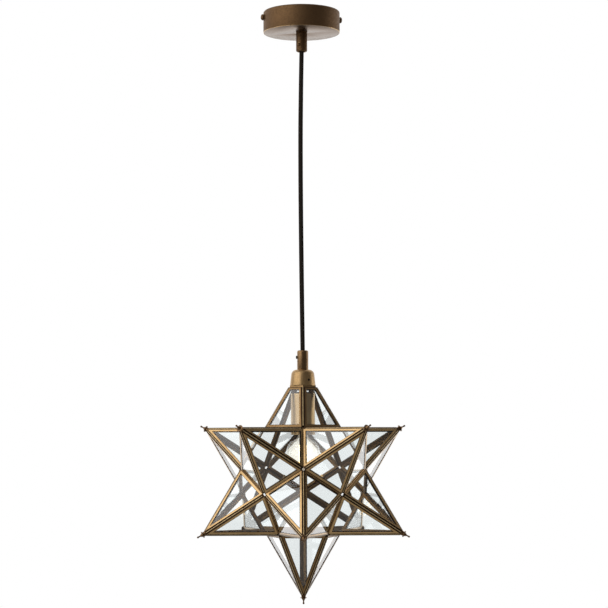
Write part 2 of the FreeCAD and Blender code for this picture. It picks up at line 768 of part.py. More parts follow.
def ray_directions():
    """Ray names and unit directions: one up, five leaning up, five leaning down, one down."""
    rays = {"top": FreeCAD.Vector(0, 0, 1)}
    for index in range(5):
        turn = math.radians(36 + 72 * index)
        rays[f"upper_{index + 1}"] = FreeCAD.Vector(
            math.sin(turn) * math.cos(LEAN), -math.cos(turn) * math.cos(LEAN), math.sin(LEAN))
    for index in range(5):
        turn = math.radians(72 * index)
        rays[f"lower_{index + 1}"] = FreeCAD.Vector(
            math.sin(turn) * math.cos(LEAN), -math.cos(turn) * math.cos(LEAN), -math.sin(LEAN))
    rays["bottom"] = FreeCAD.Vector(0, 0, -1)
    return rays


RAYS = ray_directions()
DOOR = "upper_3"


def neighbours(ray):
    """The five rays round a ray, whose axes meet its own at the same angle."""
    axis = RAYS[ray]
    return [name for name, other in RAYS.items() if name != ray and axis.dot(other) > 0.4]


def edge_frame(ray, other):
    """Where the edge between two rays lies: its middle, the way to the ray's centre, and outwards."""
    axis = RAYS[ray]
    side = (RAYS[other] - axis * axis.dot(RAYS[other])).normalize()
    middle = axis * value("base_distance") + side * value("base_inradius")
    return middle, side * -1, axis


def pane_placement(ray, other):
    """A pane's own frame: X along its base edge, Y up to the ray's tip, Z outwards."""
    middle, _, axis = edge_frame(ray, other)
    up = (axis * value("star_radius") - middle).normalize()
    out = RAYS[other]
    return FreeCAD.Placement(middle, FreeCAD.Rotation(up.cross(out), up, out, "ZXY"))


def draw_pane(body, name, inset):
    """A triangle drawn in from the ideal face by an inset on all three sides."""
    base = f"({inset})"
    apex = f"(face_height - ({inset}) / sin(18 deg))"
    half = f"(({apex} - {base}) * tan(18 deg))"
    sketch = start_sketch(body, name, "XY_Plane")
    draw_outline(sketch, [(f"-{half}", base), (half, base), ("0", apex)])
    return sketch


def trim_top(body, name, drop):
    """Cut the pane off square to the ray's axis, at a drop below the ray's tip."""
    sketch = start_sketch(body, name + "_side", "YZ_Plane")
    level = f"face_height - ({drop}) / {math.cos(LEAN):.9f}"
    draw_outline(sketch, [
        (f"{level} - came_width", "2 * came_width"), (f"{level} + came_width", "-2 * came_width"),
        ("2 * face_height", "-2 * came_width"), ("2 * face_height", "2 * came_width")])
    trim = body.newObject("PartDesign::Pocket", name)
    trim.Profile = sketch
    trim.Type = "ThroughAll"
    trim.SideType = "Symmetric"
    doc.recompute()


def round_folds(body, name):
    """Round the strip's folds: outside along the slanted sides, inside along the base."""
    face = value("came_width") / 2
    low = value("pane_setback")
    names = []
    for index, edge in enumerate(body.Shape.Edges, start=1):
        ends = [vertex.Point for vertex in edge.Vertexes]
        level = all(abs(end.y - low) < 0.001 for end in ends)
        side = -face if level else face
        lies_there = all(abs(end.z - side) < 0.001 for end in ends)
        slanted = abs(ends[0].x - ends[1].x) > 0.001 and abs(ends[0].y - ends[1].y) > 0.001
        if lies_there and (level or slanted):
            names.append(f"Edge{index}")
    if len(names) != 3:
        raise RuntimeError(f"{name} has {len(names)} folds")
    folds = body.newObject("PartDesign::Fillet", name + "_folds")
    folds.Base = (folds.BaseFeature, names)
    folds.Radius = value("came_fold")
    folds.setExpression("Radius", bound("came_fold"))
    doc.recompute()


def make_came(name, drop, closed_top):
    """A brass channel bent round a pane: a solid outline less its window and its glass slot."""
    body = doc.addObject("PartDesign::Body", name)
    outline = draw_pane(body, name + "_outline", "pane_setback")
    plate = body.newObject("PartDesign::Pad", name + "_plate")
    plate.Profile = outline
    plate.SideType = "Symmetric"
    plate.setExpression("Length", bound("came_width"))
    doc.recompute()
    trim_top(body, name + "_trim", drop)
    round_folds(body, name)
    for part, inset, depth in (
            ("window", "pane_setback + came_leg", "came_width + 1"),
            ("slot", "pane_setback + came_gauge", "glass_thickness + 2 * glass_play")):
        sketch = draw_opening(body, f"{name}_{part}", inset, drop, part if closed_top else None)
        pocket = body.newObject("PartDesign::Pocket", f"{name}_{part}_cut")
        pocket.Profile = sketch
        pocket.SideType = "Symmetric"
        pocket.setExpression("Length", bound(depth))
        doc.recompute()
    return body


def draw_opening(body, name, inset, drop, closed):
    """The window or glass slot of a pane; under a closed top it is cut short by a bar."""
    if closed is None:
        return draw_pane(body, name, inset)
    bar = "came_leg" if closed == "window" else "(came_gauge + 0.4 * came_width)"
    base = f"({inset})"
    apex = f"(face_height - ({inset}) / sin(18 deg))"
    half = f"(({apex} - {base}) * tan(18 deg))"
    top = f"(face_height - ({drop}) / {math.cos(LEAN):.9f} - {bar})"
    top_half = f"(({apex} - {top}) * tan(18 deg))"
    sketch = start_sketch(body, name, "XY_Plane")
    draw_outline(sketch, [(f"-{half}", base), (half, base), (top_half, top), (f"-{top_half}", top)])
    return sketch


def make_glass(name, drop, closed_top):
    """The pane itself, a little smaller than the slot that it lies in."""
    body = doc.addObject("PartDesign::Body", name)
    inset = "pane_setback + came_gauge + glass_play"
    closed = "slot" if closed_top else None
    sketch = draw_opening(body, name + "_outline", inset, f"{drop} + glass_play", closed)
    pane = body.newObject("PartDesign::Pad", name + "_plate")
    pane.Profile = sketch
    pane.SideType = "Symmetric"
    pane.setExpression("Length", bound("glass_thickness"))
    doc.recompute()
    return body


def five_copies(pattern, ray):
    """Set five copies of a pattern round a ray."""
    copies = []
    for other in neighbours(ray):
        copy = pattern.Shape.copy()
        copy.Placement = pane_placement(ray, other)
        copies.append(copy)
    return copies


def ray_frame(ray):
    """A ray's own frame, with Z out along its axis."""
    return FreeCAD.Rotation(FreeCAD.Vector(0, 0, 1), RAYS[ray])


def make_star():
    top_drop = "collar_drop + collar_thickness"
    plain_came = make_came("came_pattern", "tip_trim", False)
    plain_glass = make_glass("pane_pattern", "tip_trim", False)
    collar_came = make_came("collar_came_pattern", top_drop, True)
    collar_glass = make_glass("collar_pane_pattern", top_drop, True)
    for ray in RAYS:
        came, glass = (collar_came, collar_glass) if ray == "top" else (plain_came, plain_glass)
        prefix = "door_ray" if ray == DOOR else f"{ray}_ray"
        solid_node(f"{prefix}_cames", five_copies(came, ray), "star_level")
        solid_node(f"{prefix}_panes", five_copies(glass, ray), "star_level")


# --- the turned finials on the tips


def make_finials():
    foot = "finial_foot_diameter / 2"
    waist = "finial_waist_diameter / 2"
    rim = "finial_rim_diameter / 2"
    pin = "finial_pin_diameter / 2"
    bead = "finial_bead_diameter / 2"
    rim_top = "finial_collar_height + finial_rim_height"
    cone_top = f"{rim_top} + finial_cone_height"
    end = f"{cone_top} + finial_pin_height"
    pattern = turned("finial_pattern", [
        ("0", "0"), (foot, "0"), (waist, "finial_collar_height"), (rim, "finial_collar_height"),
        (rim, rim_top), (waist, f"{rim_top} + finial_rim_slope"), (pin, cone_top),
        (pin, f"{end} - finial_bead_height"), (bead, f"{end} - finial_bead_height + finial_bead_slope"),
        (bead, f"{end} - finial_bead_slope"), (f"{bead} - finial_bead_slope", end), ("0", end)])
    seat = value("star_radius - tip_trim")
    fixed = []
    for ray, axis in RAYS.items():
        if ray == "top":
            continue
        copy = pattern.Shape.copy()
        copy.Placement = FreeCAD.Placement(axis * seat, ray_frame(ray))
        if ray == DOOR:
            solid_node("door_finial", [copy], "star_level")
        else:
            fixed.append(copy)
    solid_node("tip_finials", fixed, "star_level")


# --- the hinge of the ray that opens, and its snap tongue


def hinge_placement():
    """The hinge's frame: X along the pin, Y in towards the door, Z outwards, at the barrel's centre."""
    middle, inward, out = edge_frame(DOOR, "top")
    reach = value("hinge_barrel") / 2 + value("hinge_play")
    lean = (math.pi + math.pi / 2 - LEAN) / 2
    gap = reach / math.sin((lean - (math.pi / 2 - LEAN)))
    centre_in = -value("pane_setback") + gap * math.cos(lean)
    centre_out = value("came_width") / 2 + gap * math.sin(lean)
    centre = middle + inward * centre_in + out * centre_out
    along = inward.cross(out)
    return FreeCAD.Placement(centre, FreeCAD.Rotation(along, inward, out, "ZXY"))


def knuckle(start, length, on_door):
    """A barrel with the leaf that is soldered to a frame, on the door's side or on the star's."""
    barrel = value("hinge_barrel") / 2
    pin = value("hinge_pin + hinge_pin_play") / 2
    drop = barrel + value("hinge_play")
    along = FreeCAD.Vector(1, 0, 0)
    thick = value("hinge_leaf_thickness")
    leaf = Part.makeBox(length, value("hinge_leaf"), thick, FreeCAD.Vector(start, 0, -drop))
    if on_door:
        leaf.rotate(FreeCAD.Vector(), along, 90 - math.degrees(LEAN))
    else:
        leaf = leaf.mirror(FreeCAD.Vector(), FreeCAD.Vector(0, 1, 0))
    body = Part.makeCylinder(barrel, length, FreeCAD.Vector(start, 0, 0), along)
    bore = Part.makeCylinder(pin, length, FreeCAD.Vector(start, 0, 0), along)
    return body.fuse(leaf).cut(bore).removeSplitter()


def make_hinge():
    place = hinge_placement()
    width = value("hinge_knuckle")
    gap = value("hinge_play")
    outer = [knuckle(-1.5 * width, width - gap, False), knuckle(0.5 * width + gap, width - gap, False)]
    middle = knuckle(-0.5 * width, width, True)
    proud = value("hinge_pin_proud")
    pin = Part.makeCylinder(value("hinge_pin") / 2, 3 * width + 2 * proud,
                            FreeCAD.Vector(-1.5 * width - proud, 0, 0), FreeCAD.Vector(1, 0, 0))
    for node, solids in (("hinge_knuckles", outer), ("hinge_pin", [pin]), ("door_hinge_knuckle", [middle])):
        for solid in solids:
            solid.Placement = place.multiply(solid.Placement)
        solid_node(node, solids, "star_level")
    print("hinge pin middle", place.Base.x, place.Base.y, place.Base.z + value("star_level"),
          "axis", place.Rotation.multVec(FreeCAD.Vector(1, 0, 0)))


def make_tongues():
    """Two bent strips inside the door's lower frames, which snap behind the edge of the next rays."""
    thick = value("tongue_thickness")
    reach = value("tongue_reach")
    setback = value("pane_setback")
    half = value("came_width") / 2
    up = FreeCAD.Vector(0, math.sin(LEAN), math.cos(LEAN))
    out = FreeCAD.Vector(0, -math.cos(LEAN), math.sin(LEAN))
    corner = up * setback - out * half
    top = corner + up * reach
    inner = out * -thick
    gap = value("tongue_gap")
    edge = gap - setback
    low = FreeCAD.Vector(0, edge, -reach)
    across = FreeCAD.Vector(0, thick, 0)
    bend = FreeCAD.Vector(0, edge, -value("tongue_bend"))
    profile = Part.makePolygon([
        corner, top, top + inner, corner + inner - up * gap, bend + across, low + across, low, bend, corner])
    width = value("tongue_width")
    strip = Part.Face(profile).extrude(FreeCAD.Vector(width, 0, 0))
    strip.translate(FreeCAD.Vector(-width / 2, 0, 0))
    tongues = []
    door = RAYS[DOOR]
    lowest = sorted(neighbours(DOOR), key=lambda name: RAYS[name].z)[:2]
    for other in lowest:
        middle, inward, outward = edge_frame(DOOR, other)
        tongue = strip.copy()
        tongue.Placement = FreeCAD.Placement(
            middle, FreeCAD.Rotation(inward.cross(outward), inward, door, "ZXY")).multiply(strip.Placement)
        tongues.append(tongue)
    solid_node("door_tongues", tongues, "star_level")


def build():
    make_bracket()
    make_canopy()
    make_canopy_screw("canopy_screw_right", "bracket_turn")
    make_canopy_screw("canopy_screw_left", "bracket_turn + 180")
    make_grip("upper_cord_grip", "upper_mouth", False, "upper_grip_screw_turn")
    make_grip_screw("upper_grip_screw", "upper_grip_screw_turn", "upper_mouth + grip_screw_level")
    make_nipple("canopy_nipple", "canopy_bottom - grip_thread_depth + nipple_inset",
                "canopy_bottom + tail_rise - 2 * nipple_inset")
    make_nut("canopy_nut", "canopy_bottom + canopy_wall")
    make_tail("cord_tail_upper", "upper_pivot + cord_diameter / 2 + tail_gap", "canopy_bottom + tail_rise")
    make_terminal_block()
    make_terminal_screws()
    make_cores()
    make_cord()
    make_grip("lower_cord_grip", "lower_mouth", True, "0")
    make_grip_screw("lower_grip_screw", "180", "lower_mouth - grip_screw_level")
    make_tail("cord_tail_lower", "holder_level - holder_nipple_depth + nipple_inset",
              "lower_pivot - cord_diameter / 2 - tail_gap")
    make_nipple("star_nipple", "holder_level - holder_nipple_depth",
                "cup_top + grip_thread_depth - nipple_inset")
    make_nut("star_nut", "collar_level - nut_height")
    make_cup()
    make_cup_screw()
    make_collar()
    make_holder()
    make_lamp()
    make_star()
    make_finials()
    make_hinge()
    make_tongues()
    doc.recompute()


def check_document():
    for item in doc.Objects:
        if "Invalid" in item.State or "Error" in item.State:
            raise RuntimeError(f"{item.Name} failed: {item.State}")
    for piece in PIECES:
        if piece.Shape.isNull() or not piece.Shape.isValid() or not piece.Shape.Solids:
            raise RuntimeError(f"{piece.Label} has no valid solid")


def export_pieces():
    os.makedirs("parts", exist_ok=True)
    for piece in PIECES:
        piece.Shape.exportStep(f"parts/{piece.Label}.step")
    print(len(PIECES), "pieces")


build()
check_document()
export_pieces()
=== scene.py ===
import bpy
import bmesh
import math
from mathutils import Matrix, Vector
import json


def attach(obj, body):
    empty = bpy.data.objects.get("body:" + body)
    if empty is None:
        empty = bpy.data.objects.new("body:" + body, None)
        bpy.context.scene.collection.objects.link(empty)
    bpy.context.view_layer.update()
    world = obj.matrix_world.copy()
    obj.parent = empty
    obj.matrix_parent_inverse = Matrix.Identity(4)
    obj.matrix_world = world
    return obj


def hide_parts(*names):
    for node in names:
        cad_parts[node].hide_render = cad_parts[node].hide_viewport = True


# A moravian star pendant: canopy, braided cord, cup and a star of glass panes in brass channels.
# Metres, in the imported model's own frame: the origin is the middle of the canopy's rim, on the ceiling.

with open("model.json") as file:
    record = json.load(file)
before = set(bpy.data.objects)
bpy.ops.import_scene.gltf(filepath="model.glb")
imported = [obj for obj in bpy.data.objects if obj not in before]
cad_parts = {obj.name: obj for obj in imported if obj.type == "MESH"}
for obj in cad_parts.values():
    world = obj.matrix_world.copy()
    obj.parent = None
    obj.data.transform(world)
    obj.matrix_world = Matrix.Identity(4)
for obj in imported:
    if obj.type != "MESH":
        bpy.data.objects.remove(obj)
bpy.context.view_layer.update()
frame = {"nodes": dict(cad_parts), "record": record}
nodes = frame["nodes"]
bodyOf = {node: body for body, names in frame["record"]["behaviour"]["bodies"].items() for node in names}
mm = 0.001


# angles in degrees
camera = {
    "place": (-0.010655, -2.5, -0.55661),
    "lens": 114.36,
    "sensor": 36,
    "azimuth": 0.288,
    "pitch": 3.954,
    "roll": -0.206,
}


def makeCamera():
    azimuth, pitch, roll = (math.radians(camera[name]) for name in ("azimuth", "pitch", "roll"))
    forward = Vector((math.sin(azimuth), math.cos(azimuth), 0))
    level = Vector((math.cos(azimuth), -math.sin(azimuth), 0))
    ahead = forward * math.cos(pitch) + Vector((0, 0, math.sin(pitch)))
    upright = level.cross(ahead)
    right = level * math.cos(roll) + upright * math.sin(roll)
    up = upright * math.cos(roll) - level * math.sin(roll)
    lens = bpy.data.cameras.new("camera")
    lens.lens = camera["lens"]
    lens.sensor_width = camera["sensor"]
    eye = bpy.data.objects.new("camera", lens)
    bpy.context.scene.collection.objects.link(eye)
    turn = Matrix((right, up, -ahead)).transposed()
    eye.matrix_world = Matrix.Translation(camera["place"]) @ turn.to_4x4()
    bpy.context.scene.camera = eye


makeCamera()
print("camera is set")


# holds one output of a node; maths on it adds the Math nodes
class Wire:
    def __init__(self, tree, output=None):
        self.tree = tree
        self.output = output

    # adds a node: its settings first, then the values or links of its sockets
    def add(self, kind, settings={}, sockets={}, output=0):
        node = self.tree.nodes.new(kind)
        for name, setting in settings.items():
            setattr(node, name, setting)
        for name, given in sockets.items():
            if isinstance(given, Wire):
                self.tree.links.new(given.output, node.inputs[name])
            else:
                node.inputs[name].default_value = given
        return Wire(self.tree, node.outputs[output] if node.outputs else None)

    def math(self, operation, first, second=0.0):
        return self.add("ShaderNodeMath", {"operation": operation}, {0: first, 1: second})

    def __add__(self, other):
        return self.math("ADD", self, other)

    def __sub__(self, other):
        return self.math("SUBTRACT", self, other)

    def __rsub__(self, other):
        return self.math("SUBTRACT", other, self)

    def __mul__(self, other):
        return self.math("MULTIPLY", self, other)

    def __truediv__(self, other):
        return self.math("DIVIDE", self, other)

    def __pow__(self, other):
        return self.math("POWER", self, other)

    __radd__ = __add__
    __rmul__ = __mul__

    # fades from one value to another as this one goes from low to high
    def fade(self, low, high, start=0.0, end=1.0):
        sockets = {"Value": self, "From Min": low, "From Max": high, "To Min": start, "To Max": end}
        return self.add("ShaderNodeMapRange", {"interpolation_type": "SMOOTHSTEP"}, sockets)

    # mixes two colours, this value being the share of the second
    def colours(self, first, second):
        settings = {"data_type": "RGBA"}
        return self.add("ShaderNodeMix", settings, {0: self, 6: first, 7: second}, output=2)


# a colour given from 0 to 255, as the nodes want it
def srgb(red, green, blue):
    def linear(level):
        share = level / 255
        return share / 12.92 if share <= 0.04045 else ((share + 0.055) / 1.055) ** 2.4
    return (linear(red), linear(green), linear(blue), 1)


def newMaterial(name):
    made = bpy.data.materials.new(name)
    made.use_nodes = True
    made.node_tree.nodes.clear()
    return made, Wire(made.node_tree)


def surface(wire, shader):
    wire.add("ShaderNodeOutputMaterial", {}, {"Surface": shader})


# where a point lies on its own piece
def places(wire):
    return wire.add("ShaderNodeTexCoord", output=3)


def noise(wire, scale, detail):
    sockets = {"Vector": places(wire), "Scale": scale, "Detail": detail}
    return wire.add("ShaderNodeTexNoise", {}, sockets)


def bump(wire, height, strength, distance):
    sockets = {"Height": height, "Strength": strength, "Distance": distance}
    return wire.add("ShaderNodeBump", {}, sockets)


mostOfNoise = (0.3, 0.7)  # noise seldom goes outside these

brass = {
    # the dark of a strip's groove and glass sides: patina together with painted shade
    "patinaAndShade": srgb(54, 38, 26),
    "brownDark": srgb(106, 81, 56),
    "brown": srgb(136, 105, 72),
    "dark": srgb(120, 94, 62),
    "mid": srgb(158, 127, 87),
    "bright": srgb(212, 178, 128),
    "cloudScale": 26,
    "grainScale": 900,
    "grainShare": 0.25,
    "rubbed": (0.2, 0.8),
    "uneven": 0.12,
    "grooveSide": (0.02, 0.24),
    "glassSide": (0.76, 0.98),
    "roughest": 1.25,
    "smoothest": 0.8,
    "bumpStrength": 0.07,
    "bumpDepth": 0.2 * mm,
}


# aged brass: brown where the finish pools, paler where hands have rubbed it; worn runs from 0 to 1
# on a strip, patina and painted shade keep it dark in the groove and beside the glass, where across is near
# 0 and 1
def makeBrass(name, worn, roughness, strip=False, browned=False):
    made, wire = newMaterial(name)
    cloud = noise(wire, brass["cloudScale"], 4)
    grain = noise(wire, brass["grainScale"], 2)
    mixed = cloud * (1 - brass["grainShare"]) + grain * brass["grainShare"]
    rubbed = (mixed + (worn - 0.5)).fade(*brass["rubbed"])
    pooled, thin = ("brownDark", "brown") if browned else ("dark", "mid")
    aged = rubbed.colours(brass[pooled], brass[thin])
    colour = (rubbed * worn).colours(aged, brass["bright"])
    if strip:
        # painted shade with the patina: the strip is darkened beside the groove and beside the glass
        across = wire.add("ShaderNodeAttribute", {"attribute_name": "across"}, output=2)
        uneven = across + (cloud - 0.5) * brass["uneven"]
        clearOfPatinaAndShade = uneven.fade(*brass["grooveSide"]) * uneven.fade(*brass["glassSide"], 1.0, 0.0)
        colour = clearOfPatinaAndShade.colours(brass["patinaAndShade"], colour)
    sockets = {
        "Base Color": colour,
        "Metallic": 1.0,
        "Roughness": grain.fade(*mostOfNoise, roughness * brass["roughest"], roughness * brass["smoothest"]),
        "Normal": bump(wire, grain, brass["bumpStrength"], brass["bumpDepth"]),
    }
    surface(wire, wire.add("ShaderNodeBsdfPrincipled", {}, sockets))
    return made


glass = {
    "tint": (0.962, 0.975, 0.975, 1),
    "facing": 0.04,
    "roughness": 0.02,
    "waveScale": 14,
    "waveStrength": 0.006,
    "waveDepth": 2 * mm,
}


lamp = {
    "filamentBody": srgb(250, 215, 150),
    "filamentColour": srgb(255, 205, 120),
    "filamentHot": srgb(255, 228, 170),
    "filamentStrength": 6.0,
    "filamentRoughness": 0.6,
    "speckScale": 900,
    "tint": (0.99, 0.985, 0.97, 1),
    "glowColour": srgb(255, 244, 224),
    "glowStrength": 2.0,
    "glowShare": 0.12,
}


# glass lets the light straight through and mirrors more of it the flatter it is looked at
# the lamp's glass has a haze of light where it is looked at squarely; glow is its share
def makeGlass(name, tint, glow=0.0):
    made, wire = newMaterial(name)
    wave = bump(wire, noise(wire, glass["waveScale"], 0), glass["waveStrength"], glass["waveDepth"])
    slant = wire.add("ShaderNodeLayerWeight", {}, {"Blend": 0.5}, output=1)
    outside = 1 - wire.add("ShaderNodeNewGeometry", output="Backfacing")
    share = (slant ** 5) * (1 - glass["facing"]) + glass["facing"]
    mirrored = 2 * share / (1 + share) * outside  # what both faces of a pane mirror together
    clear = wire.add("ShaderNodeBsdfTransparent", {}, {"Color": tint})
    mirror = wire.add("ShaderNodeBsdfPrincipled", {}, {
        "Base Color": (1, 1, 1, 1),
        "Metallic": 1.0,
        "Roughness": glass["roughness"],
        "Normal": wave,
    })
    pane = wire.add("ShaderNodeMixShader", {}, {0: mirrored, 1: clear, 2: mirror})
    if glow:
        haze = wire.add("ShaderNodeBsdfPrincipled", {}, {
            "Base Color": (0, 0, 0, 1),
            "Emission Color": lamp["glowColour"],
            "Emission Strength": lamp["glowStrength"],
        })
        pane = wire.add("ShaderNodeMixShader", {}, {0: (1 - slant) ** 2 * glow, 1: pane, 2: haze})
    surface(wire, pane)
    return made


braid = {
    "thread": srgb(50, 45, 40),
    "shade": srgb(22, 20, 18),
    "threadsRound": 8,
    "threadsLong": 90,
    "valley": -0.4,
    "fibreScale": 2500,
    "fibreShare": 0.2,
    "roughness": 0.9,
    "sheen": 0.0,
    "bumpStrength": 0.5,
    "bumpDepth": 0.3 * mm,
}


# two sets of threads that cross, laid out on the curve's own measure along and around
def makeBraid():
    made, wire = newMaterial("black_braid")
    along = wire.add("ShaderNodeSeparateXYZ", {}, {0: wire.add("ShaderNodeTexCoord", output=2)})
    around = Wire(wire.tree, along.output.node.outputs[1])
    lengthwise = along * (braid["threadsLong"] * 2 * math.pi)
    sideways = around * (braid["threadsRound"] * 2 * math.pi)
    left = wire.math("SINE", lengthwise + sideways)
    right = wire.math("SINE", lengthwise - sideways)
    height = wire.math("MAXIMUM", left, right).fade(braid["valley"], 1)
    fibre = noise(wire, braid["fibreScale"], 2)
    lit = height * (1 - braid["fibreShare"]) + fibre * braid["fibreShare"]
    sockets = {
        "Base Color": lit.colours(braid["shade"], braid["thread"]),
        "Roughness": braid["roughness"],
        "Specular IOR Level": braid["sheen"],
        "Normal": bump(wire, height, braid["bumpStrength"], braid["bumpDepth"]),
    }
    surface(wire, wire.add("ShaderNodeBsdfPrincipled", {}, sockets))
    return made


plain = {
    "speckScale": 400,
    "speckEdge": (0.35, 0.65),
    "shade": 0.75,
    "roughest": 1.2,
    "smoothest": 0.85,
    "bumpStrength": 0.1,
    "bumpDepth": 0.2 * mm,
}


# one colour with fine specks of a darker shade
def makePlain(name, colour, roughness, metallic=0.0):
    made, wire = newMaterial(name)
    speck = noise(wire, plain["speckScale"], 3)
    shade = tuple(part * plain["shade"] for part in colour[:3]) + (1,)
    sockets = {
        "Base Color": speck.fade(*plain["speckEdge"]).colours(shade, colour),
        "Metallic": metallic,
        "Roughness": speck.fade(*mostOfNoise, roughness * plain["roughest"], roughness * plain["smoothest"]),
        "Normal": bump(wire, speck, plain["bumpStrength"], plain["bumpDepth"]),
    }
    surface(wire, wire.add("ShaderNodeBsdfPrincipled", {}, sockets))
    return made


def makeGlow():
    made, wire = newMaterial("glowing_filament")
    speck = noise(wire, lamp["speckScale"], 2)
    sockets = {
        "Base Color": lamp["filamentBody"],
        "Emission Color": speck.fade(*mostOfNoise).colours(lamp["filamentColour"], lamp["filamentHot"]),
        "Emission Strength": lamp["filamentStrength"],
        "Roughness": lamp["filamentRoughness"],
    }
    surface(wire, wire.add("ShaderNodeBsdfPrincipled", {}, sockets))
    return made


# brass is given its wear and its roughness, the plain finishes their colour, roughness and metal share
finish = {
    "brownBrass": makeBrass("brown_brass", 0.15, 0.6, browned=True),
    "satinBrass": makeBrass("satin_brass", 0.15, 0.3, browned=True),
    "agedBrass": makeBrass("aged_brass", 0.4, 0.36, browned=True),
    "finialBrass": makeBrass("finial_brass", 0.1, 0.3, browned=True),
    # the bevelled rims: worn brass, pale also as a painted highlight
    "wornEdgeAndHighlight": makeBrass("worn_edge_and_highlight", 0.9, 0.24),
    "antiqueBrass": makeBrass("antique_brass", 0.35, 0.4),
    "cupBrass": makeBrass("cup_brass", 0.5, 0.4),
    "sleeveBrass": makeBrass("sleeve_brass", 0.65, 0.4),
    "brightBrass": makeBrass("bright_brass", 0.8, 0.25),
    "innerBrass": makeBrass("inner_brass", 0.1, 0.5),
    "channelBrass": makeBrass("channel_brass", 0.6, 0.28, strip=True),
    # the top and bottom rays: a darker, duller copy of the strip brass, painted shade
    "shadedChannel": makeBrass("shaded_channel", 0.3, 0.36, strip=True),
    # the seams' solder is pale so that it also reads as a painted highlight along each groove
    "solderAndHighlight": makePlain("solderAndHighlight", srgb(218, 192, 146), 0.6, 0.7),
    "paneGlass": makeGlass("pane_glass", glass["tint"]),
    "lampGlass": makeGlass("lamp_glass", lamp["tint"], lamp["glowShare"]),
    "blackBraid": makeBraid(),
    "coreSheath": makePlain("core_sheath", srgb(150, 92, 48), 0.45),
    "insulator": makePlain("insulator", srgb(226, 221, 208), 0.5),
    "platedSteel": makePlain("plated_steel", srgb(178, 178, 174), 0.32, 1.0),
    "blackSteel": makePlain("black_steel", srgb(34, 30, 27), 0.45, 1.0),
    "glow": makeGlow(),
}
print("materials are made")


cord = {
    "top": -49 * mm,
    "bottom": -448 * mm,
    "set": (0, -1.7 * mm, -2.0 * mm, -1.6 * mm, -0.9 * mm, 0),
    "diameter": 6 * mm,
    "length": 399 * mm,
    "endRadius": 0.96,
    "roundSteps": 8,
    "lengthSteps": 24,
}


# the points of the set are evenly spaced from the upper grip's pivot to the lower one's
def makeCord():
    curve = bpy.data.curves.new("braided_cord", "CURVE")
    curve.dimensions = "3D"
    curve.bevel_depth = cord["diameter"] / 2
    curve.bevel_resolution = cord["roundSteps"]
    curve.resolution_u = cord["lengthSteps"]
    curve.use_fill_caps = True
    line = curve.splines.new("NURBS")
    line.points.add(len(cord["set"]) - 1)
    step = (cord["bottom"] - cord["top"]) / (len(cord["set"]) - 1)
    for count, across in enumerate(cord["set"]):
        line.points[count].co = (across, 0, cord["top"] + count * step, 1)
    line.points[0].radius = line.points[-1].radius = cord["endRadius"]  # drawn in by the grips
    line.order_u = 3
    line.use_endpoint_u = True
    piece = bpy.data.objects.new("braided_cord", curve)
    bpy.context.scene.collection.objects.link(piece)
    curve.materials.append(finish["blackBraid"])
    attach(piece, "cord")
    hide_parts("cord")


makeCord()
print("cord hangs")


copying = {
    "merge": 0.001 * mm,
    "flat": math.radians(0.5),
}


def choose(piece):
    bpy.ops.object.select_all(action="DESELECT")
    piece.select_set(True)
    bpy.context.view_layer.objects.active = piece


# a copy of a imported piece, its loose triangles joined into whole faces
def wholeCopy(node, name):
    piece = bpy.data.objects.new(name, nodes[node].data.copy())
    piece.data.materials.clear()
    bpy.context.scene.collection.objects.link(piece)
    choose(piece)
    if piece.data.has_custom_normals:
        bpy.ops.mesh.customdata_custom_splitnormals_clear()
    bpy.ops.object.mode_set(mode="EDIT")
    bpy.ops.mesh.select_all(action="SELECT")
    bpy.ops.mesh.remove_doubles(threshold=copying["merge"])
    bpy.ops.mesh.dissolve_limited(angle_limit=copying["flat"])
    bpy.ops.mesh.select_all(action="DESELECT")
    bpy.ops.object.mode_set(mode="OBJECT")
    return piece


def standFor(piece, node):
    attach(piece, bodyOf[node])
    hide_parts(node)


turned = {
    "round": 0.35 * mm,
    "steps": 2,
    "sharp": math.radians(50),
    "smooth": math.radians(40),
    "underside": -0.9,
    "pieces": {
        "canopy": ("brownBrass", "satinBrass"),
        "upper_cord_grip": ("brownBrass", "brownBrass"),
        "lower_cord_grip": ("agedBrass", "agedBrass"),
        "socket_cup": ("cupBrass", "cupBrass"),
    },
}


# breaks the sharp edges of a turned piece and leaves them rubbed bright, worn brass that also carries a
# painted highlight
# its underside may have a sheen of its own
def breakEdges(node, side, underside):
    piece = wholeCopy(node, node + "_shell")
    for name in (side, "wornEdgeAndHighlight", underside):
        piece.data.materials.append(finish[name])
    for face in piece.data.polygons:
        face.material_index = 2 if face.normal.z < turned["underside"] else 0
    bpy.ops.object.mode_set(mode="EDIT")
    bpy.ops.mesh.select_mode(type="EDGE")
    bpy.ops.mesh.edges_select_sharp(sharpness=turned["sharp"])
    bpy.ops.mesh.bevel(offset=turned["round"], segments=turned["steps"], affect="EDGES", material=1)
    bpy.ops.object.mode_set(mode="OBJECT")
    bpy.ops.object.shade_smooth_by_angle(angle=turned["smooth"])
    standFor(piece, node)


for node, (side, underside) in turned["pieces"].items():
    breakEdges(node, side, underside)
print("edges are broken")


channel = {
    "starCentre": (0, 0, -0.612),
    "flatSides": 10,
    # these rays' strips take the darker copy of the strip brass, painted shade
    "shadedRays": ("top_ray_cames", "bottom_ray_cames"),
    "lip": 0.15 * mm,
    "lipSteps": 2,
    "lipDepth": 1.2 * mm,
    "stripWidth": 3.7 * mm,
    "stripDepth": 3.0 * mm,
    "innerLevel": -0.2 * mm,
    "grooveFloor": 0.14,
    "cutShare": 0.5,
    "smooth": math.radians(34),
}

# how squarely a face looks along or away from a direction, as the cosine between them
facing = {
    "across": 0.05,
    "along": 0.95,
    "flat": 0.99,
    "under": -0.5,
    "valley": -0.3,
}

seam = {
    "radius": 0.6 * mm,
    "sides": 12,
    "height": 1.6 * mm,
    "reach": 5 * mm,
    "short": (2.5 * mm, 1.0 * mm),
    "steepest": math.radians(70),
}


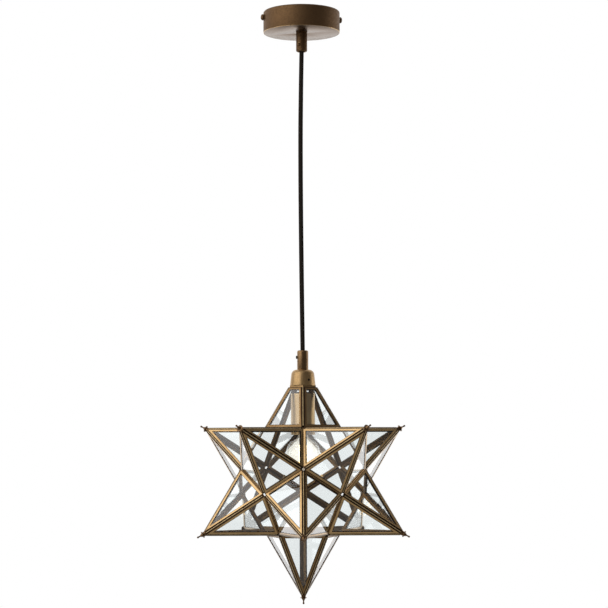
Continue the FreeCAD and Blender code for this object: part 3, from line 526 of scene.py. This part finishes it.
# the outward normals of a ray's five panes: of the frames' ten widest flat sides, those that face the tip
def paneNormals(shape, axis):
    covered = {}
    for face in shape.faces:
        way = tuple(round(part, 2) for part in face.normal)
        area, normal = covered.get(way, (0, face.normal.copy()))
        covered[way] = (area + face.calc_area(), normal)
    widest = sorted(covered.values(), key=lambda side: -side[0])[:channel["flatSides"]]
    return [normal for area, normal in widest if normal.dot(axis) > 0]


def middleOf(faces):
    return sum((face.calc_center_median() for face in faces), Vector()) / len(faces)


# a ray's axis, and for each of its five frames the outward normal of its pane and its faces
def sortFrames(shape):
    middle = middleOf(shape.faces)
    axis = (middle - Vector(channel["starCentre"])).normalized()
    normals = paneNormals(shape, axis)
    frames = [[] for normal in normals]
    for face in shape.faces:
        outward = face.calc_center_median() - middle
        outward -= axis * axis.dot(outward)
        nearest = max(range(len(frames)), key=lambda count: normals[count].dot(outward))
        frames[nearest].append(face)
    return axis, list(zip(normals, frames))


# selects the edges of the lips that lie on a frame's two flat sides
def selectLips(flat, faces):
    centre = middleOf(faces)
    for face in faces:
        inward = (face.calc_center_median() - centre).dot(face.normal) < 0
        if abs(face.normal.dot(flat)) > facing["across"] or not inward:
            continue
        for edge in face.edges:
            depth = abs((edge.verts[0].co - centre).dot(flat))
            flatBeside = any(abs(other.normal.dot(flat)) > facing["flat"] for other in edge.link_faces)
            edge.select = edge.select or flatBeside and depth > channel["lipDepth"]


# writes on each corner how far across its strip it lies, for the patina and painted shade: 0 at the outer
# side, 1 at the lip down the groove between two frames it rises again a little, which lightens them there
# what faces into the star, into a valley or lies under the glass gets the dull inner brass
def measureStrips(shape, axis, flat, faces):
    across = shape.loops.layers.float["across"]
    centre = middleOf(faces)
    sides = {}
    for face in faces:
        outward = (face.calc_center_median() - centre).dot(face.normal) > 0
        cut = face.normal.dot(axis) > facing["along"]
        if outward and (cut or abs(face.normal.dot(flat)) < facing["across"]):
            way = tuple(round(part, 2) for part in face.normal)
            weight = channel["cutShare"] if cut else 1
            sides[way] = (face.normal * weight, face.verts[0].co.copy())
    for face in faces:
        middle = face.calc_center_median() - centre
        back = abs(face.normal.dot(flat)) < facing["across"] and middle.dot(face.normal) > 0
        under = face.normal.dot(flat) < facing["under"]
        valley = back and face.normal.dot(axis) < facing["valley"]
        underGlass = not back and middle.dot(flat) < channel["innerLevel"]
        face.material_index = 1 if under or valley or underGlass else 0
        for corner in face.loops:
            depth = channel["stripDepth"] / 2 - (corner.vert.co - centre).dot(flat)
            inside = min((place - corner.vert.co).dot(normal) for normal, place in sides.values())
            inGroove = depth / channel["stripDepth"] * channel["grooveFloor"]
            share = inGroove if back else inside / channel["stripWidth"]
            corner[across] = min(1, max(0, share))


# where the seam of solder lies in the groove between two frames: its middle, turn and length
def seamLine(shape, first, second):
    star = Vector(channel["starCentre"])
    middle = (first + second).normalized()
    along = first.cross(second).normalized()
    level = max((vert.co - star).dot(first) for vert in shape.verts) - channel["stripDepth"]
    foot = star + middle * (level / first.dot(middle) + seam["height"])
    spots = [vert.co - foot for vert in shape.verts]
    reached = [spot.dot(along) for spot in spots if spot.cross(along).length < seam["reach"]]
    atBase, atTip = seam["short"]
    start, end = min(reached) + atBase, max(reached) - atTip
    return foot + along * (start + end) / 2, along.to_track_quat("Z", "Y").to_euler(), end - start


# adds the seams of a ray as round bars; what is selected after each is the new bar
def laySeams(piece, shape, axis, normals):
    pairs = [(first, second) for first in normals for second in normals if first is not second]
    ridges = [
        (first, second) for first, second in pairs
        if first.angle(second) < seam["steepest"] and first.cross(second).dot(axis) > 0
    ]
    for place, turn, depth in [seamLine(shape, first, second) for first, second in ridges]:
        bpy.ops.mesh.primitive_cylinder_add(
            vertices=seam["sides"], radius=seam["radius"], depth=depth, location=place, rotation=turn)
        for face in bmesh.from_edit_mesh(piece.data).faces:
            face.material_index = 2 if face.select else face.material_index
    bmesh.update_edit_mesh(piece.data)


def makeChannels(node):
    piece = wholeCopy(node, node.replace("cames", "frames"))
    strip = "shadedChannel" if node in channel["shadedRays"] else "channelBrass"
    for material in (strip, "innerBrass", "solderAndHighlight"):
        piece.data.materials.append(finish[material])
    bpy.ops.object.mode_set(mode="EDIT")
    bpy.ops.mesh.select_mode(type="EDGE")
    shape = bmesh.from_edit_mesh(piece.data)
    for flat, faces in sortFrames(shape)[1]:
        selectLips(flat, faces)
    shape.select_flush_mode()
    bmesh.update_edit_mesh(piece.data)
    bpy.ops.mesh.bevel(offset=channel["lip"], segments=channel["lipSteps"], affect="EDGES")
    shape = bmesh.from_edit_mesh(piece.data)
    shape.loops.layers.float.new("across")
    axis, frames = sortFrames(shape)
    for flat, faces in frames:
        measureStrips(shape, axis, flat, faces)
    bmesh.update_edit_mesh(piece.data)
    laySeams(piece, shape, axis, [flat for flat, faces in frames])
    bpy.ops.object.mode_set(mode="OBJECT")
    bpy.ops.object.shade_smooth_by_angle(angle=channel["smooth"])
    standFor(piece, node)


for node in sorted(name for name in nodes if name.endswith("_cames")):
    makeChannels(node)
print("channels are folded")


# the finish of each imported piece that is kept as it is
painted = {
    "brownBrass": ["canopy_screw_left", "canopy_screw_right", "upper_grip_screw"],
    "antiqueBrass": ["collar_plate", "hinge_knuckles", "door_hinge_knuckle"],
    "sleeveBrass": ["lampholder_cap", "lampholder_sleeve"],
    "finialBrass": ["tip_finials", "door_finial"],
    "brightBrass": ["hinge_pin", "door_tongues", "holder_contacts", "bulb_cap"],
    "blackSteel": ["lower_grip_screw", "cup_screw"],
    "platedSteel": [
        "ceiling_bracket", "canopy_nipple", "canopy_nut", "terminal_screws",
        "star_nipple", "star_nut", "bulb_contact",
    ],
    "insulator": ["terminal_block", "lampholder_core"],
    "coreSheath": ["cord_cores"],
    "blackBraid": ["cord_tail_upper", "cord_tail_lower", "cord"],
    "lampGlass": ["bulb_glass", "bulb_stem"],
    "glow": ["bulb_filaments"],
    "paneGlass": sorted(name for name in nodes if name.endswith("_panes")),
}

for name, pieces in painted.items():
    for node in pieces:
        nodes[node].data.materials.clear()
        nodes[node].data.materials.append(finish[name])
print("finishes are on")


room = {
    "floorLevel": -2.4,
    "floorSize": 8.0,
    "floorColour": (0.86, 0.86, 0.85, 1),
    "floorRoughness": 0.9,
    "floorPale": 0.8,
    "paleFrom": 0.5,
    "paleTo": 3.8,
    "fill": 0.25,
    "front": 0.16,
    "back": 1.4,
    "behind": (-0.1, 0.7),
    "aim": (0, 0, -0.5),
    "glassLayers": 64,
}

lights = {
    "left": {"place": (-1.55, -0.95, 0.35), "size": (2.8, 2.6), "power": 42},
    "right": {"place": (2.1, 0.5, -0.4), "size": (0.6, 1.6), "power": 5},
    "above": {"place": (-0.3, -0.3, 1.7), "size": (1.2, 1.2), "power": 3},
}


# plain to the light, and nearly white where it is looked at
def makeFloor():
    bpy.ops.mesh.primitive_plane_add(size=room["floorSize"], location=(0, 0, room["floorLevel"]))
    floor = bpy.context.object
    floor.name = "floor"
    made, wire = newMaterial("floor")
    sockets = {"Base Color": room["floorColour"], "Roughness": room["floorRoughness"]}
    matt = wire.add("ShaderNodeBsdfPrincipled", {}, sockets)
    length = {"operation": "LENGTH"}
    distance = wire.add("ShaderNodeVectorMath", length, {0: places(wire)}, output="Value")
    white = wire.add("ShaderNodeEmission", {}, {"Color": (1, 1, 1, 1), "Strength": 1.0})
    looked = wire.add("ShaderNodeLightPath", output="Is Camera Ray")
    share = looked * distance.fade(room["paleFrom"], room["paleTo"], room["floorPale"], 1.0)
    surface(wire, wire.add("ShaderNodeMixShader", {}, {0: share, 1: matt, 2: white}))
    floor.data.materials.append(made)


def makeLights():
    for name, light in lights.items():
        source = bpy.data.lights.new(name, "AREA")
        source.shape = "RECTANGLE"
        source.size, source.size_y = light["size"]
        source.energy = light["power"]
        shown = bpy.data.objects.new(name, source)
        bpy.context.scene.collection.objects.link(shown)
        shown.location = light["place"]
        towards = Vector(room["aim"]) - shown.location
        shown.rotation_euler = towards.to_track_quat("-Z", "Y").to_euler()
        shown.visible_camera = False


# white where it is looked at; the piece's metal sees it bright behind the piece and dim in front
def makeWorld():
    world = bpy.data.worlds.new("studio")
    bpy.context.scene.world = world
    world.use_nodes = True
    world.node_tree.nodes.clear()
    wire = Wire(world.node_tree)
    way = wire.add("ShaderNodeTexCoord", output=0)
    depth = wire.add("ShaderNodeSeparateXYZ", {}, {0: way}, output=1)
    mirrored = depth.fade(*room["behind"], room["front"], room["back"])
    looked = wire.add("ShaderNodeLightPath", output="Is Camera Ray")
    passed = wire.add("ShaderNodeLightPath", output="Is Transmission Ray")
    glossy = wire.add("ShaderNodeLightPath", output="Is Glossy Ray")
    seen = wire.math("MAXIMUM", looked, passed)
    strength = seen + (1 - seen) * (glossy * mirrored + (1 - glossy) * room["fill"])
    shader = wire.add("ShaderNodeBackground", {}, {"Color": (1, 1, 1, 1), "Strength": strength})
    wire.add("ShaderNodeOutputWorld", {}, {"Surface": shader})


makeFloor()
makeLights()
makeWorld()
bpy.context.scene.view_settings.view_transform = "Standard"
bpy.context.scene.cycles.transparent_max_bounces = room["glassLayers"]  # a view crosses many panes
print("room is lit")
